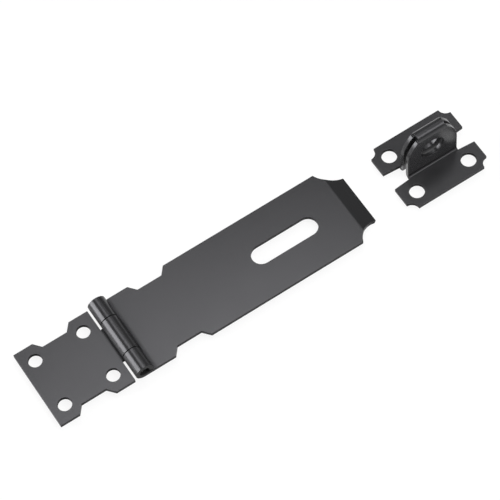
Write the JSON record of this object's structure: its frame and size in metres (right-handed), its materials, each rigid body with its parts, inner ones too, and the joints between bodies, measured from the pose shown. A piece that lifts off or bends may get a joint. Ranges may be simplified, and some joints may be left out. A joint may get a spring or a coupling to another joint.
{
  "type": "safety hasp",
  "caption": "Folded-sheet safety hasp: screw-down leaf, hinged slotted strap with waist notches and a bent lip, and a separate doubled-sheet staple with a padlock eye.",
  "frame": {"origin": "centre of the leaf's four screw holes, on the leaf's mounting face", "axes": "+X runs from the leaf past the pin along the open strap, +Y along the pin, +Z out of the mounting surface"},
  "size_m": [0.2122, 0.038, 0.0304],
  "materials": {
    "hasp_coating": "satin black coating on steel sheet",
    "pin_coating": "satin black coating on a steel pin",
    "staple_coating": "satin black coating on steel sheet"
  },
  "bodies": {
    "leaf": {"hinge_leaf": "hasp_coating", "hinge_pin": "pin_coating", "staple": "staple_coating"},
    "strap": {"hasp_strap": "hasp_coating"}
  },
  "joints": [
    {"name": "strap_hinge", "type": "hinge", "parent": "leaf", "child": "strap", "pos_m": [0.02245, 0, 0.0041], "axis": [0, -1, 0], "range_deg": [0, 180]}
  ]
}
